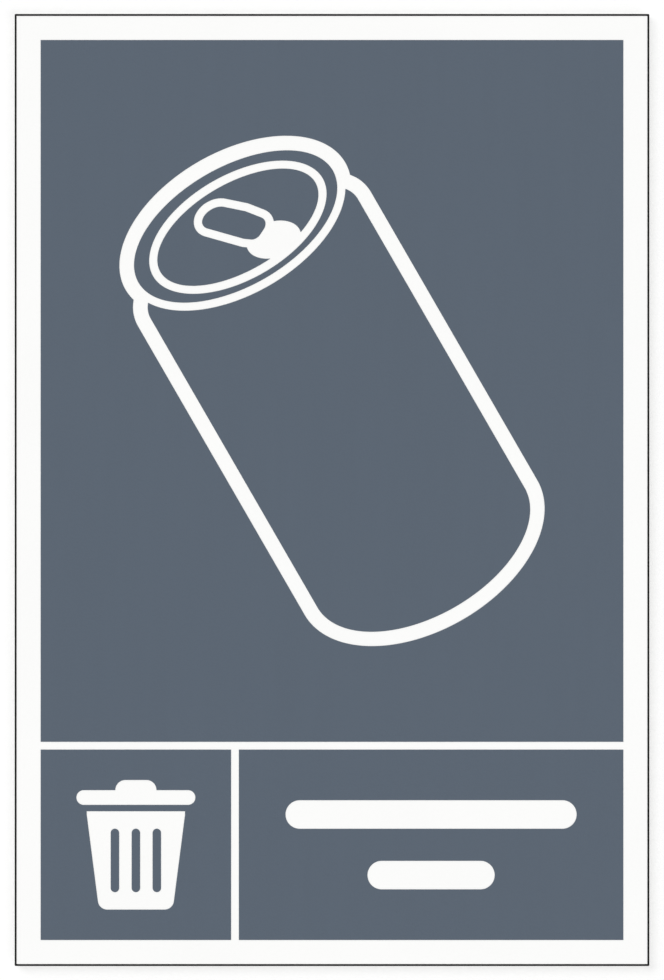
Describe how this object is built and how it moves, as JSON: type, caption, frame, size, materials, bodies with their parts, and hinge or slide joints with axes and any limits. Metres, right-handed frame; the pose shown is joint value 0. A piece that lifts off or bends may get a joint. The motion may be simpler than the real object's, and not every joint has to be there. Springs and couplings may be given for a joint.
{
  "type": "recycling sign",
  "caption": "Flat upright wall sign: a white board faced with cut film that shows a leaning drinks can above a bin symbol and plain caption bars.",
  "frame": {"origin": "middle of the board's back face, which lies on the floor", "axes": "+X to the sign's right as it is read, +Y to its top, +Z out of its printed face"},
  "size_m": [0.2, 0.3, 0.0031],
  "materials": {
    "board": "white foamed PVC sheet with a smooth satin skin",
    "field_film": "slate grey self-adhesive vinyl film, satin",
    "line_film": "black self-adhesive vinyl film, satin"
  },
  "bodies": {
    "root": {"sign_board": "board", "edge_line": "line_film", "picture_film": "field_film", "can_body_film": "field_film", "rim_band_film": "field_film", "lid_film": "field_film", "tab_eye_film": "field_film", "symbol_film": "field_film", "bin_rib_left": "field_film", "bin_rib_middle": "field_film", "bin_rib_right": "field_film", "caption_film": "field_film"}
  },
  "joints": []
}
